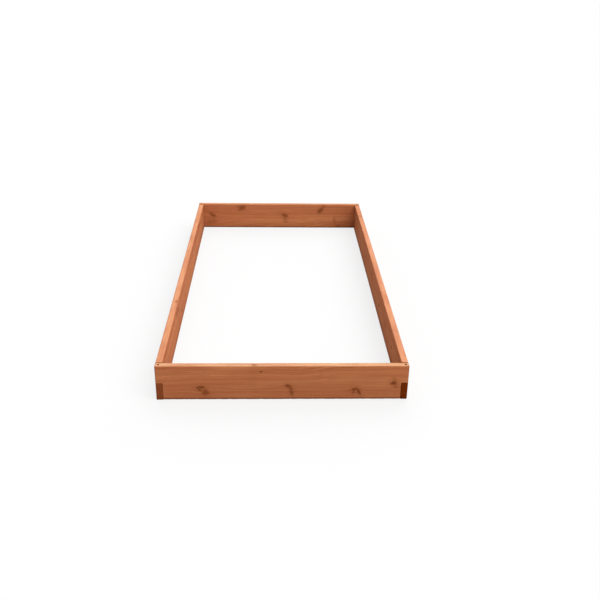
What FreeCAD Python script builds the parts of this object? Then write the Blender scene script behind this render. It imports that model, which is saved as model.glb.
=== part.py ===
import FreeCAD, Part

import os

import Sketcher

# A raised garden bed: four stained softwood boards stand on edge in a rectangle, open at the top
# and the bottom. At each corner the boards are half lapped. The side boards have a lower tab that
# comes through to the outer face of the front or back board, and the front and back boards have an
# upper tab that lies on top of it. A steel pin, dropped down a hole drilled through the upper tab
# and into the lower one, locks the lap and lifts out again to take the bed apart.
#
# Millimetres, +Z up, +Y from the front board to the back board, +X to the right. The origin is in
# the middle of the bed, on the ground that the side boards stand on.

document = FreeCAD.newDocument("raised_garden_bed")


# ------------------------------------------------------------------------------------------ sizes

DRIVING_SIZES = (
    ("bed_width", 914.4, "outside width, along the front and back boards (3 ft)"),
    ("bed_length", 1828.8, "outside length, along the side boards (6 ft)"),
    ("board_height", 139.7, "face width of the stock, which stands upright (5 1/2 in)"),
    ("board_thickness", 25.4, "thickness of the stock (1 in)"),
    ("edge_radius", 3.0, "easing along every edge of a cut length of stock"),
    ("lap_height", 71.25, "height of the side boards' lower tabs"),
    ("end_board_lift", 1.4, "how far the front and back boards ride above the ground"),
    ("lap_clearance", 0.4, "sideways gap at the shoulders of each lap"),
    ("pin_diameter", 6.35, "corner pin of plain steel rod (1/4 in)"),
    ("pin_clearance", 0.3, "gap all round a pin in its hole"),
    ("pin_recess", 6.0, "how far a pin's top lies below the top of its hole"),
    ("pin_floor", 12.0, "wood left under the blind hole in a lower tab"),
    ("pin_chamfer", 0.8, "chamfer on both ends of a pin"),
)

sizes = document.addObject("Spreadsheet::Sheet", "sizes")
for row, (alias, millimetres, meaning) in enumerate(DRIVING_SIZES, start=1):
    sizes.set("A%d" % row, meaning)
    sizes.set("B%d" % row, str(millimetres))
    sizes.setAlias("B%d" % row, alias)
document.recompute()

# Sizes that follow from the driving ones, as expressions on the sheet.
TAB_LENGTH = "(sizes.board_thickness + sizes.lap_clearance)"
BOARD_MIDDLE = "(sizes.board_thickness / 2)"
END_BOARD_TOP = "(sizes.end_board_lift + sizes.board_height)"
UPPER_TAB_FLOOR = "(sizes.lap_height - sizes.end_board_lift)"
HOLE_DIAMETER = "(sizes.pin_diameter + 2 * sizes.pin_clearance)"
LOWER_HOLE_DEPTH = "(sizes.lap_height - sizes.pin_floor)"
PIN_LENGTH = END_BOARD_TOP + " - sizes.pin_recess - sizes.pin_floor"
HALF_WIDTH = "sizes.bed_width / 2"
HALF_LENGTH = "sizes.bed_length / 2"
ON_AXIS = "0"


def millimetres_of(expression):
    """The number that an expression on the sheet comes to."""
    return float(sizes.evalExpression(expression))


# --------------------------------------------------------------------------------------- sketches

def new_sketch(body, name, plane_role, height=ON_AXIS):
    """An empty sketch on one of the body's own origin planes, raised by an expression."""
    plane = next(item for item in body.Origin.OriginFeatures if item.Role == plane_role)
    sketch = body.newObject("Sketcher::SketchObject", body.Label + "_" + name)
    sketch.AttachmentSupport = [(plane, "")]
    sketch.MapMode = "FlatFace"
    if height != ON_AXIS:
        sketch.setExpression("AttachmentOffset.Base.z", height)
    return sketch


def add_dimension(sketch, name, constraint_type, points, expression):
    """A named dimension that follows an expression on the sheet."""
    constraint = Sketcher.Constraint(constraint_type, *points, millimetres_of(expression))
    sketch.renameConstraint(sketch.addConstraint(constraint), name)
    sketch.setExpression("Constraints." + name, expression)


def place_point(sketch, name, point, across, up):
    """Fix one point of the sketch at two expressions, measured from the sketch's origin."""
    for direction, other_axis, expression in (("X", -2, across), ("Y", -1, up)):
        if expression == ON_AXIS:
            sketch.addConstraint(Sketcher.Constraint("PointOnObject", *point, other_axis))
        else:
            origin_to_point = (-1, 1) + point
            dimension_name = name + "_" + direction.lower()
            add_dimension(
                sketch, dimension_name, "Distance" + direction, origin_to_point, expression
            )


def add_rectangle(sketch, name, across, up, width, height):
    """An upright rectangle from its lower left corner, with its sizes as expressions."""
    left = millimetres_of(across)
    bottom = millimetres_of(up)
    right = left + millimetres_of(width)
    top = bottom + millimetres_of(height)
    corners = [
        FreeCAD.Vector(left, bottom, 0),
        FreeCAD.Vector(right, bottom, 0),
        FreeCAD.Vector(right, top, 0),
        FreeCAD.Vector(left, top, 0),
    ]
    lines = [
        sketch.addGeometry(Part.LineSegment(corner, corners[(index + 1) % 4]), False)
        for index, corner in enumerate(corners)
    ]
    for index, line in enumerate(lines):
        sketch.addConstraint(Sketcher.Constraint("Coincident", lines[index - 1], 2, line, 1))
        lie = "Horizontal" if index % 2 == 0 else "Vertical"
        sketch.addConstraint(Sketcher.Constraint(lie, line))
    bottom_line, right_line = lines[0], lines[1]
    place_point(sketch, name + "_corner", (bottom_line, 1), across, up)
    add_dimension(sketch, name + "_width", "DistanceX", (bottom_line, 1, bottom_line, 2), width)
    add_dimension(sketch, name + "_height", "DistanceY", (right_line, 1, right_line, 2), height)


def add_circle(sketch, name, across, up, diameter):
    """A circle with its centre and diameter as expressions."""
    centre = FreeCAD.Vector(millimetres_of(across), millimetres_of(up), 0)
    normal = FreeCAD.Vector(0, 0, 1)
    circle = sketch.addGeometry(Part.Circle(centre, normal, millimetres_of(diameter) / 2), False)
    place_point(sketch, name + "_centre", (circle, 3), across, up)
    add_dimension(sketch, name + "_diameter", "Diameter", (circle,), diameter)


# ----------------------------------------------------------------------------------------- boards

def edges_where(feature, wanted):
    """The names of the feature's edges that the test picks out."""
    edges = feature.Shape.Edges
    return ["Edge%d" % number for number, edge in enumerate(edges, start=1) if wanted(edge)]


def require_cut(feature, base):
    """Stop if a cutting feature took no material away."""
    if not feature.Shape.Volume < base.Shape.Volume - 1.0:
        raise RuntimeError(feature.Label + " cuts nothing")


def stock(body, length):
    """A length of planed stock, from the body's origin along +X, with all its edges eased.

    Its outer face is in the plane Y = 0 and its lower edge on Z = 0.
    """
    section = new_sketch(body, "section", "YZ_Plane")
    add_rectangle(section, "stock", ON_AXIS, ON_AXIS, "sizes.board_thickness", "sizes.board_height")
    plank = body.newObject("PartDesign::Pad", body.Label + "_plank")
    plank.Profile = section
    plank.setExpression("Length", length)
    document.recompute()

    eased = body.newObject("PartDesign::Fillet", body.Label + "_eased_edges")
    eased.Base = (plank, edges_where(plank, lambda edge: True))
    eased.setExpression("Radius", "sizes.edge_radius")
    document.recompute()
    return eased


def saw_notches(body, base, length, floor, height):
    """Saw a notch as long as a tab out of both ends, from the floor up by the height."""
    sketch = new_sketch(body, "notch_outline", "XZ_Plane")
    add_rectangle(sketch, "near_notch", ON_AXIS, floor, TAB_LENGTH, height)
    add_rectangle(sketch, "far_notch", length + " - " + TAB_LENGTH, floor, TAB_LENGTH, height)
    notches = body.newObject("PartDesign::Pocket", body.Label + "_notches")
    notches.Profile = sketch
    notches.Type = "ThroughAll"
    notches.SideType = "Symmetric"
    document.recompute()
    require_cut(notches, base)
    return notches


def drill_pin_holes(body, base, length, mouth, depth=None):
    """Drill down the middle of both tabs from the mouth: right through, or to a flat floor."""
    sketch = new_sketch(body, "drill_centres", "XY_Plane", mouth)
    add_circle(sketch, "near", BOARD_MIDDLE, BOARD_MIDDLE, HOLE_DIAMETER)
    add_circle(sketch, "far", length + " - " + BOARD_MIDDLE, BOARD_MIDDLE, HOLE_DIAMETER)
    document.recompute()
    holes = body.newObject("PartDesign::Hole", body.Label + "_pin_holes")
    holes.Profile = sketch
    holes.DrillPoint = "Flat"
    holes.setExpression("Diameter", HOLE_DIAMETER)
    if depth is None:
        holes.DepthType = "ThroughAll"
    else:
        holes.DepthType = "Dimension"
        holes.setExpression("Depth", depth)
    document.recompute()
    require_cut(holes, base)
    return holes


def place_body(body, base_x, base_y, base_z, degrees):
    """Turn the body about the vertical and move its origin to three expressions."""
    upright = FreeCAD.Vector(0, 0, 1)
    body.Placement = FreeCAD.Placement(FreeCAD.Vector(), FreeCAD.Rotation(upright, degrees))
    body.setExpression("Placement.Base.x", base_x)
    body.setExpression("Placement.Base.y", base_y)
    body.setExpression("Placement.Base.z", base_z)


def end_board(label):
    """A front or back board: notched from below, so that an upper tab is left at each end."""
    length = "sizes.bed_width"
    body = document.addObject("PartDesign::Body", label)
    plank = stock(body, length)
    notched = saw_notches(body, plank, length, ON_AXIS, UPPER_TAB_FLOOR)
    drill_pin_holes(body, notched, length, "sizes.board_height")
    return body


def side_board(label):
    """A left or right board: notched from above, so that a lower tab is left at each end."""
    length = "sizes.bed_length"
    notch_height = "sizes.board_height - sizes.lap_height"
    body = document.addObject("PartDesign::Body", label)
    plank = stock(body, length)
    notched = saw_notches(body, plank, length, "sizes.lap_height", notch_height)
    drill_pin_holes(body, notched, length, "sizes.lap_height", LOWER_HOLE_DEPTH)
    return body


front_board = end_board("front_board")
place_body(front_board, "-" + HALF_WIDTH, "-" + HALF_LENGTH, "sizes.end_board_lift", 0)

back_board = end_board("back_board")
place_body(back_board, HALF_WIDTH, HALF_LENGTH, "sizes.end_board_lift", 180)

left_board = side_board("left_board")
place_body(left_board, "-" + HALF_WIDTH, HALF_LENGTH, ON_AXIS, -90)

right_board = side_board("right_board")
place_body(right_board, HALF_WIDTH, "-" + HALF_LENGTH, ON_AXIS, 90)


# ------------------------------------------------------------------------------------ corner pins

def corner_pin(label, side, end):
    """A chamfered steel rod that stands on the floor of the hole in one corner's lower tab."""
    body = document.addObject("PartDesign::Body", label)
    section = new_sketch(body, "section", "XY_Plane")
    add_circle(section, "rod", ON_AXIS, ON_AXIS, "sizes.pin_diameter")
    rod = body.newObject("PartDesign::Pad", label + "_rod")
    rod.Profile = section
    rod.setExpression("Length", PIN_LENGTH)
    document.recompute()

    chamfer = body.newObject("PartDesign::Chamfer", label + "_chamfered_ends")
    chamfer.Base = (rod, edges_where(rod, lambda edge: edge.BoundBox.ZLength < 0.001))
    chamfer.setExpression("Size", "sizes.pin_chamfer")
    from_middle_x = "%d * (%s - %s)" % (side, HALF_WIDTH, BOARD_MIDDLE)
    from_middle_y = "%d * (%s - %s)" % (end, HALF_LENGTH, BOARD_MIDDLE)
    place_body(body, from_middle_x, from_middle_y, "sizes.pin_floor", 0)
    return body


LEFT, RIGHT = -1, 1
FRONT, BACK = -1, 1
pins = [
    corner_pin("front_left_pin", LEFT, FRONT),
    corner_pin("front_right_pin", RIGHT, FRONT),
    corner_pin("back_left_pin", LEFT, BACK),
    corner_pin("back_right_pin", RIGHT, BACK),
]


# --------------------------------------------------------------------------- check and write files

document.recompute()
for item in document.Objects:
    if "Invalid" in item.State or "Error" in item.State:
        raise RuntimeError(item.Label + " failed to build")

pieces = [front_board, back_board, left_board, right_board] + pins
for piece in pieces:
    if piece.Shape.isNull() or not piece.Shape.isValid() or len(piece.Shape.Solids) != 1:
        raise RuntimeError(piece.Label + " is not one sound solid")

os.makedirs("parts", exist_ok=True)
for piece in pieces:
    piece.Shape.exportStep("parts/" + piece.Label + ".step")
    box = piece.Shape.BoundBox
    print(
        "%-16s x %.2f to %.2f, y %.2f to %.2f, z %.2f to %.2f, %.0f mm3"
        % (piece.Label, box.XMin, box.XMax, box.YMin, box.YMax, box.ZMin, box.ZMax,
           piece.Shape.Volume)
    )
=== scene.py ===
import math

import bpy
from mathutils import Matrix, Quaternion, Vector


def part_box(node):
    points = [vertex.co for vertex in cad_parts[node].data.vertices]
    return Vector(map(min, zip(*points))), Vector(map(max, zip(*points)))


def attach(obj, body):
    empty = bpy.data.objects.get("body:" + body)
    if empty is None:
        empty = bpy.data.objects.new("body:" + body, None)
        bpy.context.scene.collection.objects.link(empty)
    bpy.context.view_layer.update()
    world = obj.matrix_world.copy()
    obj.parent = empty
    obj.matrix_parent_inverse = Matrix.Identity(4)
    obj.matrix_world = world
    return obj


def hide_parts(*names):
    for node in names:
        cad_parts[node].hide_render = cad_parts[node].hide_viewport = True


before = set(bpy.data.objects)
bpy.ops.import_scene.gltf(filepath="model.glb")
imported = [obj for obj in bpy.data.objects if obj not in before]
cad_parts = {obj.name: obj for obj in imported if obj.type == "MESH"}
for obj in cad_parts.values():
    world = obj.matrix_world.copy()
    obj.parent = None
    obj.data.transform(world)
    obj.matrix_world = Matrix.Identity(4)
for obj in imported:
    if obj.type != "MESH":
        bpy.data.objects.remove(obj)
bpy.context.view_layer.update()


# ---------------------------------------------------------------------------------------------
# Front board
# A length of dressed 25 x 140 mm softwood on edge, brushed with a red-brown stain. Its edges are
# eased with a router. The lower corners are sawn out, so that an upper tab at each end lies over
# the side boards, and a hole for the corner pin is drilled down through the middle of each tab.

MM = 0.001
EASING = 3.0 * MM
LAP_HEIGHT = 71.25 * MM
LAP_CLEARANCE = 0.4 * MM
PIN_HOLE_RADIUS = 3.475 * MM
MOUTH_EASING = 0.45 * MM
CUTTER_OVERRUN = 5 * MM
PLANER_WANDER = 0.35 * MM
KNOCK_DEPTH = 0.9 * MM
COARSE_SPAN = 60 * MM
FINE_SPAN = 3 * MM
SECTION_SPAN = 9 * MM
TOUCHING = 0.01 * MM
FRONT_KNOTS = (
    # which face, from the middle, above the lower edge, radius, stretch, turn, darkness, paleness
    ("side", -297, 53, 4.8, 2.8, 0, 0.75, 0.0),
    ("side", -292, 44, 3.6, 1.1, 0, 0.0, 0.6),
    ("side", -299, 42, 5.4, 1.4, -50, 0.65, 0.0),
    ("side", -279, 31, 9.5, 1.2, 85, 0.60, 0.0),
    ("side", 20, 57, 5.4, 1.8, -15, 0.85, 0.0),
    ("side", 32, 35, 6.2, 2.6, -78, 0.50, 0.0),
    ("side", 262, 43, 5.0, 1.9, 28, 0.75, 0.0),
    ("side", 258, 32, 4.4, 1.8, 75, 0.35, 0.0),
    ("side", 278, 33, 4.8, 2.6, -66, 0.85, 0.0),
    ("side", 269, 32, 3.2, 1.8, 80, 0.0, 0.7),
    ("side", 405, 69, 6.6, 1.5, 0, 1.0, 0.0),
    ("side", 404, 87, 6.4, 1.0, 80, 0.0, 1.0),
    ("side", 412, 53, 4.6, 1.6, -10, 0.30, 0.0),
    ("side", -78, 117, 2.8, 1.2, 0, 0.85, 0.0),
    ("top", -104, -4, 4.5, 1.8, 0, 0.15, 0.7),
)


def wire(tree, kind, inputs=(), **options):
    """A node with its options set and its inputs wired: each is a socket or a value."""
    node = tree.nodes.new(kind)
    for option, value in options.items():
        setattr(node, option, value)
    for place, source in dict(inputs).items():
        if isinstance(source, bpy.types.NodeSocket):
            tree.links.new(source, node.inputs[place])
        else:
            node.inputs[place].default_value = source
    return node


def figure(tree, operation, *operands):
    """The result of one Math node."""
    return wire(tree, "ShaderNodeMath", enumerate(operands), operation=operation).outputs[0]


def vector_figure(tree, operation, *operands):
    """The vector that one Vector Math node gives."""
    return wire(tree, "ShaderNodeVectorMath", enumerate(operands), operation=operation).outputs[0]


def parts_of(tree, vector):
    """The X, Y and Z of a vector."""
    return wire(tree, "ShaderNodeSeparateXYZ", {0: vector}).outputs


def soft_step(tree, value, start, end, at_start=0.0, at_end=1.0):
    """A smooth change from one value to another while the input goes from start to end."""
    inputs = {"Value": value, "From Min": start, "From Max": end, "To Min": at_start}
    inputs["To Max"] = at_end
    node = wire(tree, "ShaderNodeMapRange", inputs, interpolation_type="SMOOTHSTEP")
    return node.outputs["Result"]


def soft_fall(tree, value, start, end):
    """A smooth change from one to nothing while the input goes from start to end."""
    return soft_step(tree, value, start, end, 1.0, 0.0)


def sum_of_squares(tree, first, second):
    """The squares of two numbers, added up."""
    second_square = figure(tree, "MULTIPLY", second, second)
    return figure(tree, "MULTIPLY_ADD", first, first, second_square)


def noise(tree, position, stretch, detail, roughness=0.5):
    """Noise from 0 to 1 with so many features per millimetre along each axis of the board."""
    scaled = vector_figure(tree, "MULTIPLY", position, stretch)
    inputs = {"Vector": scaled, "Scale": 1.0, "Detail": detail, "Roughness": roughness}
    return wire(tree, "ShaderNodeTexNoise", inputs)


def noise_along(tree, distance, detail=1.0):
    """Noise from 0 to 1 that changes with one number only."""
    inputs = {"W": distance, "Scale": 1.0, "Detail": detail}
    return wire(tree, "ShaderNodeTexNoise", inputs, noise_dimensions="1D").outputs[0]


def mix_colour(tree, amount, colour, other):
    """One colour laid over another by an amount."""
    inputs = {0: amount, 6: colour, 7: other}
    return wire(tree, "ShaderNodeMix", inputs, data_type="RGBA").outputs[2]


def stain_colour(tree, mask, strength, colour, tone):
    """A colour stained with a tone where a mask is, by a strength."""
    return mix_colour(tree, figure(tree, "MULTIPLY", mask, strength), colour, tone)


def new_group(name, inputs, outputs):
    """An empty shader group: its tree, its input sockets by name, and its output node."""
    tree = bpy.data.node_groups.new(name, "ShaderNodeTree")
    for socket, kind in inputs:
        tree.interface.new_socket(socket, in_out="INPUT", socket_type="NodeSocket" + kind)
    for socket, kind in outputs:
        tree.interface.new_socket(socket, in_out="OUTPUT", socket_type="NodeSocket" + kind)
    return tree, tree.nodes.new("NodeGroupInput").outputs, tree.nodes.new("NodeGroupOutput")


def send(tree, node, results):
    """Wire results to the group's outputs of the same names."""
    for name, socket in results.items():
        tree.links.new(socket, node.inputs[name])


def knot_group():
    """A branch that was cut through: its dark or resin-pale heart, bark rim, stained halo, crack.

    Push moves the growth rings apart to flow round it, in millimetres.
    """
    tree, given, out = new_group(
        "knot",
        (
            ("Position", "Vector"),
            ("Ragged", "Vector"),
            ("Centre", "Vector"),
            ("Radius", "Float"),
            ("Stretch", "Float"),
            ("Turn", "Float"),
            ("Darkness", "Float"),
            ("Paleness", "Float"),
        ),
        (
            ("Dark", "Float"),
            ("Pale", "Float"),
            ("Rim", "Float"),
            ("Halo", "Float"),
            ("Crack", "Float"),
            ("Push", "Vector"),
        ),
    )
    radius = given["Radius"]
    straight = vector_figure(tree, "SUBTRACT", given["Position"], given["Centre"])
    ragged = wire(
        tree, "ShaderNodeVectorMath", {0: given["Ragged"], "Scale": radius}, operation="SCALE"
    )
    offset = vector_figure(tree, "ADD", straight, ragged.outputs[0])
    turned = wire(
        tree, "ShaderNodeVectorRotate", {"Vector": offset, "Angle": given["Turn"]},
        rotation_type="Y_AXIS",
    )
    part = parts_of(tree, turned.outputs[0])
    along = figure(tree, "DIVIDE", part["X"], figure(tree, "MULTIPLY", radius, given["Stretch"]))
    across = figure(tree, "DIVIDE", part["Z"], radius)
    squares = sum_of_squares(tree, along, across)
    distance = figure(tree, "SQRT", squares)
    heart = soft_fall(tree, distance, 0.30, 1.40)
    from_rim = figure(tree, "DIVIDE", figure(tree, "SUBTRACT", distance, 0.95), 0.30)
    fall_off = figure(tree, "MULTIPLY", from_rim, figure(tree, "MULTIPLY", from_rim, -1.0))
    fullness = figure(tree, "ADD", given["Darkness"], given["Paleness"])
    rim = figure(
        tree, "MULTIPLY", figure(tree, "EXPONENT", fall_off),
        figure(tree, "MINIMUM", figure(tree, "ADD", fullness, 0.30), 1.0),
    )
    halo = figure(
        tree, "MULTIPLY", figure(tree, "EXPONENT", figure(tree, "MULTIPLY", squares, -0.26)),
        figure(tree, "MINIMUM", figure(tree, "ADD", given["Darkness"], 0.25), 1.0),
    )
    crack = soft_fall(tree, figure(tree, "ABSOLUTE", across), 0.03, 0.12)

    near = parts_of(tree, straight)
    long_way = figure(tree, "DIVIDE", near["X"], figure(tree, "MULTIPLY", radius, 6.0))
    short_way = figure(tree, "DIVIDE", near["Z"], figure(tree, "MULTIPLY", radius, 2.6))
    spread = sum_of_squares(tree, long_way, short_way)
    hump = figure(tree, "EXPONENT", figure(tree, "MULTIPLY", spread, -1.0))
    shift = figure(tree, "MULTIPLY", near["Z"], figure(tree, "MULTIPLY", hump, -0.75))
    push = wire(tree, "ShaderNodeCombineXYZ", {"Z": shift})
    own_rings = figure(tree, "SINE", figure(tree, "MULTIPLY", distance, 19.0))
    ringed_heart = figure(
        tree, "MULTIPLY", heart, figure(tree, "MULTIPLY_ADD", own_rings, 0.16, 0.84)
    )
    send(
        tree, out,
        {
            "Dark": figure(tree, "MULTIPLY", ringed_heart, given["Darkness"]),
            "Pale": figure(tree, "MULTIPLY", ringed_heart, given["Paleness"]),
            "Rim": rim,
            "Halo": halo,
            "Crack": figure(tree, "MULTIPLY", crack, heart),
            "Push": push.outputs[0],
        },
    )
    return tree


def growth_ring_group():
    """Growth rings round a pith that runs along the board, cut by whatever face is looked at.

    Late Wood is the dense dark part of each year and Ring Tone differs from year to year. Zone is
    the slow change from one part of the tree to the next. Fibre and Flecks follow the rings.
    """
    tree, given, out = new_group(
        "growth_rings",
        (("Position", "Vector"), ("Pith", "Vector"), ("Ring Width", "Float"), ("Taper", "Float")),
        (
            ("Late Wood", "Float"),
            ("Ring Tone", "Float"),
            ("Zone", "Float"),
            ("Fibre", "Float"),
            ("Flecks", "Float"),
        ),
    )
    position = given["Position"]
    wander = noise(tree, position, (0.0024, 0.010, 0.010), 1.0).outputs["Color"]
    wander = vector_figure(tree, "MULTIPLY_ADD", wander, (0.0, 18.0, 18.0), (0.0, -9.0, -9.0))
    from_pith = vector_figure(tree, "SUBTRACT", position, given["Pith"])
    part = parts_of(tree, vector_figure(tree, "ADD", from_pith, wander))
    level_radius = figure(tree, "SQRT", sum_of_squares(tree, part["Y"], part["Z"]))
    radius = figure(tree, "MULTIPLY_ADD", part["X"], given["Taper"], level_radius)
    unsteady = noise_along(tree, figure(tree, "MULTIPLY", radius, 0.09))
    path = figure(tree, "MULTIPLY_ADD", unsteady, 6.0, radius)
    years = figure(tree, "DIVIDE", path, given["Ring Width"])
    season = figure(tree, "FRACT", years)
    rise = soft_step(tree, season, 0.25, 0.90)
    fall = soft_fall(tree, season, 0.93, 1.0)
    tone = wire(
        tree, "ShaderNodeTexWhiteNoise", {"W": figure(tree, "FLOOR", years)}, noise_dimensions="1D"
    )
    zone = noise_along(tree, figure(tree, "MULTIPLY", path, 0.075))
    along = parts_of(tree, position)
    fibre_place = wire(
        tree, "ShaderNodeCombineXYZ",
        {
            "X": figure(tree, "MULTIPLY", along["X"], 0.011),
            "Y": figure(tree, "MULTIPLY", path, 0.9),
            "Z": figure(tree, "MULTIPLY", along["Z"], 0.3),
        },
    ).outputs[0]
    fibre = noise(tree, fibre_place, (1.0, 1.0, 1.0), 4.0, 0.68).outputs[0]
    flecks = noise(tree, fibre_place, (5.0, 2.6, 4.0), 1.0).outputs[0]
    send(
        tree, out,
        {
            "Late Wood": figure(tree, "MULTIPLY", rise, fall),
            "Ring Tone": tone.outputs["Value"],
            "Zone": zone,
            "Fibre": fibre,
            "Flecks": soft_step(tree, flecks, 0.62, 0.74),
        },
    )
    return tree


def sawn_end_and_joint_shade_group():
    """Where the board was sawn across its fibres: the open ends drink the stain.

    Open End is 1 on such a face, Pores are its cut fibres and saw marks, and Checks are the thin
    cracks that run out from the pith. The last two are painted shade: a painted shadow band a
    little way in from a shoulder that stands above the lap, where the board meets the end board,
    and painted shade on the drilled hole's wall and lip.
    """
    tree, given, out = new_group(
        "sawn_end_and_joint_shade",
        (
            ("Position", "Vector"),
            ("Pith", "Vector"),
            ("Lengthwise", "Vector"),
            ("Shoulder", "Float"),
            ("Hole", "Float"),
        ),
        (
            ("Open End", "Float"),
            ("Pores", "Float"),
            ("Checks", "Float"),
            ("Seam Shadow", "Float"),
            ("Hole Shade", "Float"),
        ),
    )
    normal = wire(tree, "ShaderNodeTexCoord").outputs["Normal"]
    facing = wire(
        tree, "ShaderNodeVectorMath", {0: normal, 1: given["Lengthwise"]}, operation="DOT_PRODUCT"
    )
    squareness = figure(tree, "ABSOLUTE", facing.outputs["Value"])
    open_end = soft_step(tree, squareness, 0.22, 0.70)
    pores = noise(tree, given["Position"], (0.0, 1.5, 2.4), 3.0, 0.7).outputs[0]
    part = parts_of(tree, vector_figure(tree, "SUBTRACT", given["Position"], given["Pith"]))
    angle = figure(tree, "ARCTAN2", part["Z"], part["Y"])
    wavering = noise(tree, given["Position"], (0.0, 0.16, 0.16), 2.0).outputs[0]
    angle = figure(tree, "MULTIPLY_ADD", wavering, 0.05, angle)
    ray = noise_along(tree, figure(tree, "MULTIPLY", angle, 26.0))
    off_ray = figure(tree, "ABSOLUTE", figure(tree, "SUBTRACT", ray, 0.5))
    thin = soft_fall(tree, off_ray, 0.004, 0.016)
    broken = soft_step(tree, wavering, 0.50, 0.60)
    place = parts_of(tree, given["Position"])
    from_middle = figure(tree, "ABSOLUTE", place["X"])
    from_shoulder = figure(tree, "SUBTRACT", given["Shoulder"], from_middle)
    from_shoulder = figure(tree, "MULTIPLY_ADD", pores, 5.0, from_shoulder)
    # Painted shadow: a dark band a little way in from the shoulder, where the board meets the end
    # board.
    seam_shadow = figure(
        tree, "MULTIPLY",
        soft_fall(tree, from_shoulder, 6.5, 11.0),
        soft_step(tree, place["Z"], 0.0, 2.0),
    )
    # Painted shade on the drilled hole's wall and lip.
    past_hole = figure(tree, "SUBTRACT", from_middle, given["Hole"])
    to_hole = figure(tree, "SQRT", sum_of_squares(tree, past_hole, place["Y"]))
    send(
        tree, out,
        {
            "Open End": open_end,
            "Pores": soft_step(tree, pores, 0.36, 0.64),
            "Checks": figure(tree, "MULTIPLY", thin, figure(tree, "MULTIPLY", broken, open_end)),
            "Seam Shadow": seam_shadow,
            "Hole Shade": soft_fall(tree, to_hole, 3.9, 5.0),
        },
    )
    return tree


def edge_wear_and_painted_light_group():
    """What happens at a board's edges.

    Rubbed is wear on the eased edges, broken up by handling. The other three are painted light,
    in this order: painted shade along the lower edge, painted shade that darkens the inner face
    towards the bottom, and painted sheen on the upper face, held back from the arrises along it.
    """
    tree, given, out = new_group(
        "edge_wear_and_painted_light",
        (("Position", "Vector"), ("Half Size", "Vector")),
        (("Rubbed", "Float"), ("Lower Edge Shade", "Float"), ("Inner Foot Shade", "Float"), ("Top Sheen", "Float")),
    )
    inward = vector_figure(
        tree, "SUBTRACT", given["Half Size"],
        vector_figure(tree, "ABSOLUTE", given["Position"]),
    )
    gap = parts_of(tree, inward)
    nearest = None
    for first, second in (("Y", "Z"), ("X", "Y"), ("X", "Z")):
        to_edge = sum_of_squares(tree, gap[first], gap[second])
        nearest = figure(tree, "MINIMUM", nearest, to_edge) if nearest else to_edge
    nearest = figure(tree, "SQRT", nearest)
    handling = noise(tree, given["Position"], (0.03, 0.12, 0.12), 4.0, 0.62).outputs[0]
    rubbed = figure(
        tree, "MULTIPLY",
        soft_fall(tree, nearest, 1.4, 3.8),
        soft_step(tree, handling, 0.40, 0.60),
    )
    place = parts_of(tree, given["Position"])
    height = place["Z"]
    half_height = parts_of(tree, given["Half Size"])["Z"]
    above_floor = figure(tree, "ADD", height, half_height)
    # Painted shade along the lower edge, which faces the floor.
    lower_shade_height = figure(tree, "MULTIPLY_ADD", handling, -3.0, above_floor)
    lower_edge_shade = soft_fall(tree, lower_shade_height, 3.5, 7.5)
    # Painted shade: the inner face darker towards the bottom.
    inner_shade_height = figure(tree, "MULTIPLY_ADD", handling, -16.0, above_floor)
    inner_foot_shade = figure(
        tree, "MULTIPLY",
        soft_fall(tree, inner_shade_height, 0.0, 50.0),
        soft_step(tree, place["Y"], 4.0, 11.0),
    )
    # Painted sheen on the upper face, held back from the arrises along it.
    from_rim = figure(tree, "SUBTRACT", half_height, height)
    top_sheen = figure(
        tree, "MULTIPLY",
        soft_fall(tree, from_rim, 0.7, 2.6),
        soft_step(tree, gap["Y"], 0.6, 2.8),
    )
    send(tree, out, {"Rubbed": rubbed, "Lower Edge Shade": lower_edge_shade, "Inner Foot Shade": inner_foot_shade, "Top Sheen": top_sheen})
    return tree


KNOT = knot_group()
GROWTH_RINGS = growth_ring_group()
SAWN_END_AND_JOINT_SHADE = sawn_end_and_joint_shade_group()
EDGE_WEAR_AND_PAINTED_LIGHT = edge_wear_and_painted_light_group()
STAINED_EARLY = (0.480, 0.172, 0.0720)
STAINED_LATE = (0.262, 0.076, 0.0250)
STAINED_ROSY = (0.405, 0.124, 0.0550)
STAINED_GOLDEN = (0.500, 0.190, 0.0800)
KNOT_HEART = (0.135, 0.026, 0.0060)
KNOT_RESIN = (0.390, 0.155, 0.0480)
KNOT_BARK = (0.140, 0.037, 0.0080)
# Painted shade for the drilled holes.
HOLE_SHADE_TONE = (0.110, 0.026, 0.0080)
SOAKED_END = (0.280, 0.062, 0.0125)
PLANER_MARKS = 2.3


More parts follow.
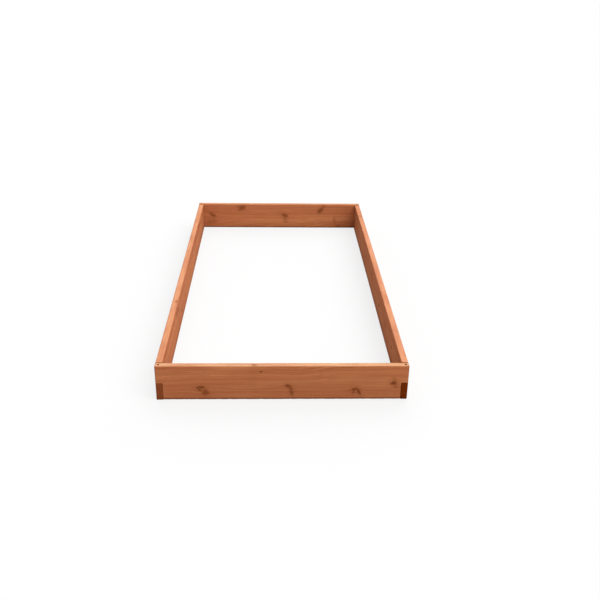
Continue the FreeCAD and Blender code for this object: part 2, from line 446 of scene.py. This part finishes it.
def stained_softwood(name, node, quarter_turns, knots, pith, painted_brightening, end_tone, top_sheen_tone):
    """The board's own wood: rings, fibre and knots inside it, under a red-brown stain.

    The pattern lives in the board's own millimetres: X along it, Y from its middle towards the
    inside of the bed, Z up. Its lightness scales the stain colours up, as painted light for a
    board that stands in shade; end tone is its soaked sawn end, and the upper-edge tone is painted
    sheen on its upper face.
    """
    low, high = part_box(node)
    middle = (low + high) / 2 / MM
    half_size = (high - low) / 2 / MM
    side_on = quarter_turns % 2 == 1
    if side_on:
        half_size = Vector((half_size.y, half_size.x, half_size.z))

    def shade(tone, strength=1.0):
        """A tone as this board shows it."""
        return tuple(part * strength for part in tone) + (1,)

    turn = Matrix.Rotation(math.radians(90 * quarter_turns), 3, "Z")
    lengthwise = turn.transposed() @ Vector((1, 0, 0))
    material = bpy.data.materials.new(name)
    material.use_nodes = True
    tree = material.node_tree
    tree.nodes.clear()
    object_place = wire(tree, "ShaderNodeTexCoord").outputs["Object"]
    position = wire(
        tree, "ShaderNodeMapping",
        {
            "Vector": object_place,
            "Location": -(turn @ middle),
            "Rotation": turn.to_euler(),
            "Scale": (1 / MM, 1 / MM, 1 / MM),
        },
    ).outputs[0]

    ragged = noise(tree, position, (0.10, 0.06, 0.17), 2.0, 0.45).outputs["Color"]
    ragged = vector_figure(tree, "MULTIPLY_ADD", ragged, (2.8, 0.0, 2.2), (-1.4, 0.0, -1.1))
    place = parts_of(tree, position)
    from_above = wire(
        tree, "ShaderNodeCombineXYZ", {"X": place["X"], "Y": place["Z"], "Z": place["Y"]}
    ).outputs[0]
    mask = {"Dark": 0.0, "Pale": 0.0, "Rim": 0.0, "Halo": 0.0, "Crack": 0.0}
    push = (0.0, 0.0, 0.0)
    for face, from_middle, across, radius, stretch, degrees, darkness, paleness in knots:
        side = face == "side"
        knot = wire(
            tree, "ShaderNodeGroup",
            {
                "Position": position if side else from_above,
                "Ragged": ragged,
                "Centre": (from_middle, 0, across - half_size.z if side else across),
                "Radius": radius,
                "Stretch": stretch,
                "Turn": math.radians(degrees),
                "Darkness": darkness,
                "Paleness": paleness,
            },
            node_tree=KNOT,
        )
        for effect in mask:
            mask[effect] = figure(tree, "MAXIMUM", mask[effect], knot.outputs[effect])
        if side:
            push = vector_figure(tree, "ADD", push, knot.outputs["Push"])

    rings = wire(
        tree, "ShaderNodeGroup",
        {
            "Position": vector_figure(tree, "ADD", position, push),
            "Pith": pith,
            "Ring Width": 2.3,
            "Taper": 0.010,
        },
        node_tree=GROWTH_RINGS,
    ).outputs
    end = wire(
        tree, "ShaderNodeGroup",
        {
            "Position": position,
            "Pith": pith,
            "Lengthwise": lengthwise,
            "Shoulder": half_size.x - 2 * half_size.y if side_on else half_size.x + 20,
            "Hole": half_size.x - half_size.y,
        },
        node_tree=SAWN_END_AND_JOINT_SHADE,
    ).outputs
    edge = wire(
        tree, "ShaderNodeGroup", {"Position": position, "Half Size": half_size},
        node_tree=EDGE_WEAR_AND_PAINTED_LIGHT,
    ).outputs

    broad = noise(tree, position, (0.0035, 0.03, 0.03), 2.0).outputs[0]
    grain = figure(
        tree, "MULTIPLY", rings["Late Wood"],
        soft_step(tree, rings["Ring Tone"], 0.0, 1.0, 0.25, 0.90),
    )
    fibre = soft_step(tree, rings["Fibre"], 0.34, 0.68)
    # The stain colours are scaled up for a board that stands in shade: painted light.
    early = shade(STAINED_EARLY, painted_brightening)
    late = shade(STAINED_LATE, painted_brightening)
    golden = shade(STAINED_GOLDEN, painted_brightening)
    bark = shade(KNOT_BARK)
    heart = shade(KNOT_HEART)
    zone = soft_step(tree, rings["Zone"], 0.35, 0.65)
    colour = mix_colour(tree, zone, shade(STAINED_ROSY, painted_brightening), early)
    colour = mix_colour(tree, soft_step(tree, broad, 0.46, 0.66, 0.0, 0.85), colour, golden)
    colour = mix_colour(tree, grain, colour, late)
    colour = stain_colour(tree, fibre, 0.38, colour, late)
    colour = stain_colour(tree, rings["Flecks"], 0.35, colour, bark)
    # Painted sheen on the upper face: a paler tone in salmon and golden patches, laid over the
    # top.
    patchy = noise(tree, position, (0.007, 0.04, 0.04), 3.0, 0.6).outputs[0]
    rosy_top_sheen = (top_sheen_tone[0] * 0.98, top_sheen_tone[1] * 0.90, top_sheen_tone[2] * 0.90)
    top_sheen_colour = mix_colour(
        tree, soft_step(tree, patchy, 0.42, 0.60), shade(rosy_top_sheen), shade(top_sheen_tone, 1.14)
    )
    top_sheen = soft_step(tree, broad, 0.25, 0.65, 0.62, 0.97)
    top_sheen = figure(tree, "MULTIPLY", edge["Top Sheen"], top_sheen)
    colour = mix_colour(tree, top_sheen, colour, top_sheen_colour)
    # Painted shade: the inner face darker towards the bottom, in the late-wood tone.
    colour = stain_colour(tree, edge["Inner Foot Shade"], 0.40, colour, late)
    colour = stain_colour(tree, mask["Halo"], 0.60, colour, late)
    colour = stain_colour(tree, edge["Rubbed"], 0.30, colour, golden)
    # Painted shade along the lower edge, in the knot bark's tone.
    colour = stain_colour(tree, edge["Lower Edge Shade"], 0.80, colour, bark)
    colour = stain_colour(tree, mask["Rim"], 0.50, colour, bark)
    colour = stain_colour(tree, mask["Pale"], 0.80, colour, shade(KNOT_RESIN))
    colour = stain_colour(tree, mask["Dark"], 0.85, colour, heart)
    colour = stain_colour(tree, mask["Crack"], 0.60, colour, heart)
    # Painted shadow beside the shoulder, in the knot bark's tone.
    colour = stain_colour(tree, end["Seam Shadow"], 0.90, colour, bark)
    soaked = mix_colour(tree, end["Pores"], shade(end_tone, 0.6), shade(end_tone))
    soaked = stain_colour(tree, rings["Late Wood"], 0.45, soaked, shade(end_tone, 0.6))
    soaked = mix_colour(tree, end["Checks"], soaked, shade(end_tone, 0.25))
    colour = mix_colour(tree, end["Open End"], colour, soaked)
    # Painted shade on the drilled hole's wall and lip.
    colour = mix_colour(tree, end["Hole Shade"], colour, shade(HOLE_SHADE_TONE))

    roughness = soft_step(tree, fibre, 0.0, 1.0, 0.54, 0.66)
    for spot, change in ((edge["Rubbed"], -0.08), (mask["Dark"], -0.12), (end["Open End"], 0.22)):
        roughness = figure(tree, "MULTIPLY_ADD", spot, change, roughness)

    chatter = figure(tree, "SINE", figure(tree, "MULTIPLY", place["X"], PLANER_MARKS))
    pitted = figure(tree, "MULTIPLY", end["Open End"], end["Pores"])
    millimetres_out = (
        (fibre, -0.06),
        (rings["Flecks"], -0.10),
        (chatter, 0.008),
        (mask["Rim"], -0.15),
        (mask["Crack"], -0.5),
        (pitted, 0.30),
        (end["Checks"], -0.8),
    )
    relief = figure(tree, "MULTIPLY", grain, 0.12)
    for mark, height in millimetres_out:
        relief = figure(tree, "MULTIPLY_ADD", mark, height, relief)
    bump = wire(tree, "ShaderNodeBump", {"Height": relief, "Distance": MM, "Strength": 1.0})
    surface = wire(
        tree, "ShaderNodeBsdfPrincipled",
        {
            "Base Color": colour,
            "Roughness": roughness,
            "Normal": bump.outputs[0],
            "Specular IOR Level": 0.006,
        },
    )
    wire(tree, "ShaderNodeOutputMaterial", {"Surface": surface.outputs[0]})
    return material


def only(piece):
    """Make this piece the one that operators act on."""
    bpy.ops.object.select_all(action="DESELECT")
    piece.select_set(True)
    bpy.context.view_layer.objects.active = piece


def select_edges(piece, wanted):
    """In edit mode, select the edges whose two ends the test accepts."""
    bpy.ops.mesh.select_mode(type="EDGE")
    bpy.ops.mesh.select_all(action="DESELECT")
    bpy.ops.object.mode_set(mode="OBJECT")
    vertices = piece.data.vertices
    for edge in piece.data.edges:
        first, second = (vertices[index].co for index in edge.vertices)
        edge.select = wanted(first, second)
    bpy.ops.object.mode_set(mode="EDIT")


def select_faces(piece, wanted):
    """In edit mode, select the faces whose middle the test accepts."""
    bpy.ops.mesh.select_mode(type="FACE")
    bpy.ops.mesh.select_all(action="DESELECT")
    bpy.ops.object.mode_set(mode="OBJECT")
    for face in piece.data.polygons:
        face.select = wanted(face.center)
    bpy.ops.object.mode_set(mode="EDIT")


def apply_modifier(piece, kind, **options):
    """Add a modifier to the piece and apply it."""
    only(piece)
    modifier = piece.modifiers.new(kind.lower(), kind)
    for option, value in options.items():
        setattr(modifier, option, value)
    bpy.ops.object.modifier_apply(modifier=modifier.name)


planer_wander = bpy.data.textures.new("planer_wander", "CLOUDS")
planer_wander.noise_scale = 0.11
knocks = bpy.data.textures.new("knocks", "CLOUDS")
knocks.noise_scale = 0.016
knocks.contrast = 4.5
knocks.intensity = 0.42
knocks.use_clamp = True


def planed_stock(name, node):
    """A cut length of stock: edges rounded over, planed a little unevenly, edges knocked about."""
    low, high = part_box(node)
    middle = (low + high) / 2
    size = high - low
    bpy.ops.object.select_all(action="DESELECT")
    bpy.ops.mesh.primitive_cube_add(size=1, location=middle, scale=size)
    board = bpy.context.object
    board.name = name
    bpy.ops.object.transform_apply(location=True, rotation=True, scale=True)
    bpy.ops.object.mode_set(mode="EDIT")
    bpy.ops.mesh.select_all(action="SELECT")
    bpy.ops.mesh.bevel(offset=EASING, segments=5, affect="EDGES")
    # One subdivide makes at most 100 cuts, so the edges along the board are divided in two goes.
    for axis in range(3):
        spans = (COARSE_SPAN, FINE_SPAN) if size[axis] == max(size) else (SECTION_SPAN,)
        longest = size[axis]
        for span in spans:
            select_edges(
                board, lambda first, second: abs(second[axis] - first[axis]) > 0.6 * longest
            )
            pieces = math.ceil(longest / span)
            bpy.ops.mesh.subdivide(number_cuts=pieces - 1)
            longest /= pieces
    bpy.ops.object.mode_set(mode="OBJECT")
    arrises = board.vertex_groups.new(name="arrises")
    for vertex in board.data.vertices:
        inward = [size[axis] / 2 - abs(vertex.co[axis] - middle[axis]) for axis in range(3)]
        if sum(gap < 0.95 * EASING for gap in inward) > 1:
            arrises.add([vertex.index], 1.0, "REPLACE")
    apply_modifier(
        board, "DISPLACE", texture=planer_wander, strength=PLANER_WANDER, mid_level=1.0
    )
    apply_modifier(
        board, "DISPLACE", texture=knocks, strength=-KNOCK_DEPTH, mid_level=0.0,
        vertex_group="arrises",
    )
    return board


def start_cutter(name):
    """An empty mesh in edit mode, to build the saw's blocks or the drill's shanks in."""
    bpy.ops.object.select_all(action="DESELECT")
    bpy.ops.object.add(type="MESH")
    cutter = bpy.context.object
    cutter.name = name
    bpy.ops.object.mode_set(mode="EDIT")
    return cutter


def cut_away(board, cutter):
    """Take the finished cutter out of the board."""
    bpy.ops.object.mode_set(mode="OBJECT")
    apply_modifier(board, "BOOLEAN", object=cutter, operation="DIFFERENCE", solver="EXACT")
    bpy.data.objects.remove(cutter)


def saw_and_drill(board, node, notch_low, notch_high, drill_low, mouth):
    """Saw a notch out of both ends between two heights, and drill the tabs down the middle.

    The drill's shank widens at the mouth, so that it eases the rim of the hole as it goes in.
    """
    low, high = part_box(node)
    size = high - low
    along = 0 if size.x > size.y else 1
    thickness = min(size.x, size.y)

    tab = thickness + LAP_CLEARANCE
    room = thickness + 2 * CUTTER_OVERRUN
    saw = start_cutter("saw")
    for side in (-1, 1):
        centre = (low + high) / 2
        centre[along] += side * (size[along] / 2 - tab / 2 + CUTTER_OVERRUN / 2)
        centre.z = (notch_low + notch_high) / 2
        extent = Vector((room, room, notch_high - notch_low))
        extent[along] = tab + CUTTER_OVERRUN
        bpy.ops.mesh.primitive_cube_add(size=1, location=centre, scale=extent)
    cut_away(board, saw)

    shank_top = mouth - MOUTH_EASING
    widening = 1 + 2 * MOUTH_EASING / PIN_HOLE_RADIUS
    drill = start_cutter("drill")
    for side in (-1, 1):
        centre = (low + high) / 2
        centre[along] += side * (size[along] / 2 - thickness / 2)
        centre.z = (drill_low + shank_top) / 2
        bpy.ops.mesh.primitive_cylinder_add(
            vertices=40, radius=PIN_HOLE_RADIUS, depth=shank_top - drill_low, location=centre
        )
        select_faces(
            drill,
            lambda place: abs(place.z - shank_top) < TOUCHING
            and (place - centre).xy.length < 10 * TOUCHING,
        )
        bpy.ops.mesh.extrude_region_move(
            TRANSFORM_OT_translate={"value": (0, 0, 2 * MOUTH_EASING)}
        )
        bpy.ops.transform.resize(
            value=(widening, widening, 1), center_override=(centre.x, centre.y, mouth)
        )
    cut_away(board, drill)
    only(board)
    bpy.ops.object.shade_smooth_by_angle(angle=math.radians(35))


def finish_board(board, node, material):
    """Give the board its wood and let it stand for its node in the frame."""
    board.data.materials.clear()
    board.data.materials.append(material)
    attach(board, "frame")
    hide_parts(node)


def end_board(name, node, material):
    """A front or back board, notched from below."""
    low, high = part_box(node)
    board = planed_stock(name, node)
    saw_and_drill(
        board, node, notch_low=low.z - CUTTER_OVERRUN, notch_high=LAP_HEIGHT,
        drill_low=LAP_HEIGHT - CUTTER_OVERRUN, mouth=high.z,
    )
    finish_board(board, node, material)


# The upper-edge tone given to each board is painted sheen on its upper face.
front_wood = stained_softwood(
    "front_board_wood", "front_board", quarter_turns=0, knots=FRONT_KNOTS, pith=(0, 62, 74),
    painted_brightening=1.0, end_tone=SOAKED_END, top_sheen_tone=(0.468, 0.257, 0.1420),
)
end_board("front_board_stained", "front_board", front_wood)


# ---------------------------------------------------------------------------------------------
# Back board
# The front board's twin, of the same stained softwood, turned end for end at the far end of the
# bed. Its upper tabs lie over the side boards too, and its knots are on the face that looks in.

BACK_KNOTS = (
    # the same eight values as for the front board's knots
    ("side", 382, 76, 7.5, 2.2, 32, 0.60, 0.0),
    ("side", 386, 38, 16.0, 1.15, -20, 0.0, 0.30),
    ("side", 212, 118, 10.0, 1.7, -35, 0.60, 0.0),
    ("side", 226, 124, 6.0, 2.4, 5, 0.25, 0.0),
    ("side", -31, 74, 9.0, 1.6, 20, 0.70, 0.0),
    ("side", -36, 45, 9.5, 1.4, 70, 0.05, 0.50),
    ("side", -234, 104, 9.5, 1.7, -50, 0.65, 0.0),
    ("side", -250, 124, 6.5, 2.2, -50, 0.25, 0.0),
    ("side", -318, 46, 5.0, 3.2, 85, 0.12, 0.15),
    ("side", -338, 12, 4.5, 2.4, 5, 0.35, 0.0),
)
# Its stain colours are painted 16 per cent lighter than the front board's: painted light, where
# the bed's walls shade this board.
back_wood = stained_softwood(
    "back_board_wood", "back_board", quarter_turns=2, knots=BACK_KNOTS, pith=(130, -70, -60),
    painted_brightening=1.16, end_tone=SOAKED_END, top_sheen_tone=(0.406, 0.206, 0.1060),
)
end_board("back_board_stained", "back_board", back_wood)


# ---------------------------------------------------------------------------------------------
# Side boards
# Twice as long, from the same stock, and notched from above, so that a lower tab at each end
# comes through to the outer face and shows its sawn, stain-dark end there.

PIN_FLOOR = 12 * MM
LEFT_KNOTS = (
    # the same eight values again, here and for the right board
    ("side", 390, 107, 6.0, 1.8, 20, 0.9, 0.0),
    ("side", 440, 113, 4.5, 1.6, 0, 0.9, 0.0),
    ("side", 283, 49, 6.0, 1.6, -30, 0.35, 0.3),
    ("side", -250, 84, 4.0, 1.6, 10, 0.5, 0.2),
    ("side", -610, 40, 5.0, 1.5, -20, 0.8, 0.0),
    ("top", 381, 5, 4.0, 1.6, 0, 0.5, 0.2),
)
RIGHT_KNOTS = (
    ("side", 34, 87, 5.0, 2.0, 15, 0.9, 0.0),
    ("side", -263, 64, 5.5, 1.8, -20, 0.9, 0.0),
    ("side", -464, 70, 5.0, 1.8, 25, 0.85, 0.0),
    ("side", -655, 72, 4.0, 2.0, 0, 0.7, 0.0),
    ("side", 520, 45, 5.5, 1.4, 30, 0.85, 0.0),
    ("top", 695, 0, 6.5, 2.4, 0, 0.0, 0.9),
)


def side_board(name, node, material):
    """A left or right board, notched from above."""
    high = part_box(node)[1]
    board = planed_stock(name, node)
    saw_and_drill(
        board, node, notch_low=LAP_HEIGHT, notch_high=high.z + CUTTER_OVERRUN,
        drill_low=PIN_FLOOR, mouth=LAP_HEIGHT,
    )
    finish_board(board, node, material)


left_wood = stained_softwood(
    "left_board_wood", "left_board", quarter_turns=1, knots=LEFT_KNOTS, pith=(60, -60, 66),
    painted_brightening=1.0, end_tone=(0.292, 0.075, 0.0235), top_sheen_tone=(0.456, 0.211, 0.1110),
)
side_board("left_board_stained", "left_board", left_wood)
right_wood = stained_softwood(
    "right_board_wood", "right_board", quarter_turns=-1, knots=RIGHT_KNOTS, pith=(-90, -58, -80),
    painted_brightening=1.0, end_tone=(0.190, 0.031, 0.0030), top_sheen_tone=(0.464, 0.210, 0.1130),
)
side_board("right_board_stained", "right_board", right_wood)


# ---------------------------------------------------------------------------------------------
# Corner pins
# Drawn steel rod, blackened and a little rusty, chamfered at both ends and still showing the
# lathe's centre mark, dropped down each corner's hole to lock the lap. Gravity alone holds them,
# so they lift straight out.

PIN_RADIUS = 6.35 / 2 * MM
PIN_CHAMFER = 0.8 * MM
FACED_RING = 1.5 * MM
CENTRE_MARK = 0.5 * MM
pin_steel = bpy.data.materials.new("pin_steel")
pin_steel.use_nodes = True
steel_tree = pin_steel.node_tree
steel_tree.nodes.clear()
steel_place = wire(steel_tree, "ShaderNodeTexCoord").outputs["Object"]
drawn = noise(steel_tree, steel_place, (4200, 4200, 60), 3.0, 0.6).outputs[0]
tarnish = noise(steel_tree, steel_place, (180, 180, 70), 4.0, 0.6).outputs[0]
steel_colour = mix_colour(
    steel_tree, soft_step(steel_tree, tarnish, 0.42, 0.68),
    (0.070, 0.055, 0.045, 1), (0.060, 0.026, 0.013, 1),
)
steel_relief = wire(
    steel_tree, "ShaderNodeBump", {"Height": drawn, "Distance": 0.05 * MM, "Strength": 0.6}
)
steel = wire(
    steel_tree, "ShaderNodeBsdfPrincipled",
    {
        "Base Color": steel_colour,
        "Metallic": 1.0,
        "Roughness": soft_step(steel_tree, tarnish, 0.35, 0.7, 0.28, 0.55),
        "Normal": steel_relief.outputs[0],
    },
)
wire(steel_tree, "ShaderNodeOutputMaterial", {"Surface": steel.outputs[0]})

for end in ("front", "back"):
    for side in ("left", "right"):
        node = "%s_%s_pin" % (end, side)
        low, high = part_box(node)
        bpy.ops.object.select_all(action="DESELECT")
        bpy.ops.mesh.primitive_cylinder_add(
            vertices=48, radius=PIN_RADIUS, depth=high.z - low.z, location=(low + high) / 2
        )
        pin = bpy.context.object
        pin.name = node + "_rod"
        bpy.ops.object.transform_apply(location=True, rotation=True, scale=True)
        bpy.ops.object.mode_set(mode="EDIT")
        select_edges(pin, lambda first, second: abs(first.z - second.z) < MM)
        bpy.ops.mesh.bevel(offset=PIN_CHAMFER, segments=3, affect="EDGES")
        for lathe_end, inwards in ((low.z, 1), (high.z, -1)):
            select_faces(pin, lambda place: abs(place.z - lathe_end) < TOUCHING)
            bpy.ops.mesh.inset(thickness=FACED_RING)
            bpy.ops.mesh.inset(thickness=CENTRE_MARK)
            bpy.ops.transform.translate(value=(0, 0, inwards * CENTRE_MARK))
        bpy.ops.object.mode_set(mode="OBJECT")
        bpy.ops.object.shade_smooth_by_angle(angle=math.radians(30))
        pin.data.materials.clear()
        pin.data.materials.append(pin_steel)
        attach(pin, node)
        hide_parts(node)


# ---------------------------------------------------------------------------------------------
# Floor, light and camera
# A pale floor, an even sky with a brighter patch beyond the bed, and one broad soft window light
# from the right and a little in front.

FLOOR_WIDTH = 80
FLOOR_GLOW = 0.76


def shows(tree, ray):
    """1 for a ray that shows what it meets: from the camera, off a shine or through glass."""
    shown = figure(tree, "MAXIMUM", ray["Is Camera Ray"], ray["Is Glossy Ray"])
    return figure(tree, "MAXIMUM", shown, ray["Is Transmission Ray"])


bpy.ops.object.select_all(action="DESELECT")
bpy.ops.mesh.primitive_plane_add(size=FLOOR_WIDTH)
floor = bpy.context.object
floor.name = "floor"
floor_paint = bpy.data.materials.new("floor_paint")
floor_paint.use_nodes = True
floor_tree = floor_paint.node_tree
floor_tree.nodes.clear()
painted = wire(floor_tree, "ShaderNodeBsdfDiffuse", {"Color": (0.57, 0.57, 0.57, 1)})
white = wire(floor_tree, "ShaderNodeEmission", {"Color": (1, 1, 1, 1), "Strength": 1.0})
floor_ray = wire(floor_tree, "ShaderNodeLightPath").outputs
floor_glow = figure(floor_tree, "MULTIPLY", shows(floor_tree, floor_ray), FLOOR_GLOW)
floor_look = wire(
    floor_tree, "ShaderNodeMixShader", {0: floor_glow, 1: painted.outputs[0], 2: white.outputs[0]}
)
wire(floor_tree, "ShaderNodeOutputMaterial", {"Surface": floor_look.outputs[0]})
floor.data.materials.append(floor_paint)

world = bpy.data.worlds.new("studio")
bpy.context.scene.world = world
world.use_nodes = True
sky = world.node_tree
sky.nodes.clear()
direction = wire(sky, "ShaderNodeTexCoord").outputs["Generated"]
towards_glow = wire(
    sky, "ShaderNodeVectorMath", {0: direction, 1: Vector((0.15, 0.80, 0.58)).normalized()},
    operation="DOT_PRODUCT",
).outputs["Value"]
glow = soft_step(sky, towards_glow, 0.70, 0.97, 0.0, 2.8)
sky_ray = wire(sky, "ShaderNodeLightPath").outputs
level = soft_step(sky, shows(sky, sky_ray), 0.0, 1.0, 0.55, 1.0)
off_camera = figure(sky, "SUBTRACT", 1.0, sky_ray["Is Camera Ray"])
unseen_glow = figure(sky, "MULTIPLY", glow, off_camera)
background = wire(
    sky, "ShaderNodeBackground",
    {"Color": (1, 1, 1, 1), "Strength": figure(sky, "ADD", level, unseen_glow)},
)
wire(sky, "ShaderNodeOutputWorld", {"Surface": background.outputs[0]})

bpy.ops.object.light_add(type="SUN")
sun = bpy.context.object
sun.name = "window_light"
to_sun = Vector((0.40, -0.28, 0.74))
sun.rotation_euler = to_sun.to_track_quat("Z", "Y").to_euler()
sun.data.energy = math.pi * to_sun.length
sun.data.angle = math.radians(60)

camera = bpy.data.objects.new("camera", bpy.data.cameras.new("camera"))
bpy.context.scene.collection.objects.link(camera)
bpy.context.scene.camera = camera
elevation = math.radians(25.70)
heading = math.radians(2.22)
roll = math.radians(1.05)
looking = Vector((
    math.sin(heading) * math.cos(elevation),
    math.cos(heading) * math.cos(elevation),
    -math.sin(elevation),
))
camera.location = (-0.0330, -3.2557, 1.5319)
camera.rotation_mode = "QUATERNION"
camera.rotation_quaternion = looking.to_track_quat("-Z", "Y") @ Quaternion((0, 0, 1), roll)
camera.data.sensor_width = 36
camera.data.lens = 45.54
camera.data.clip_end = 200

bpy.context.scene.view_settings.view_transform = "Standard"
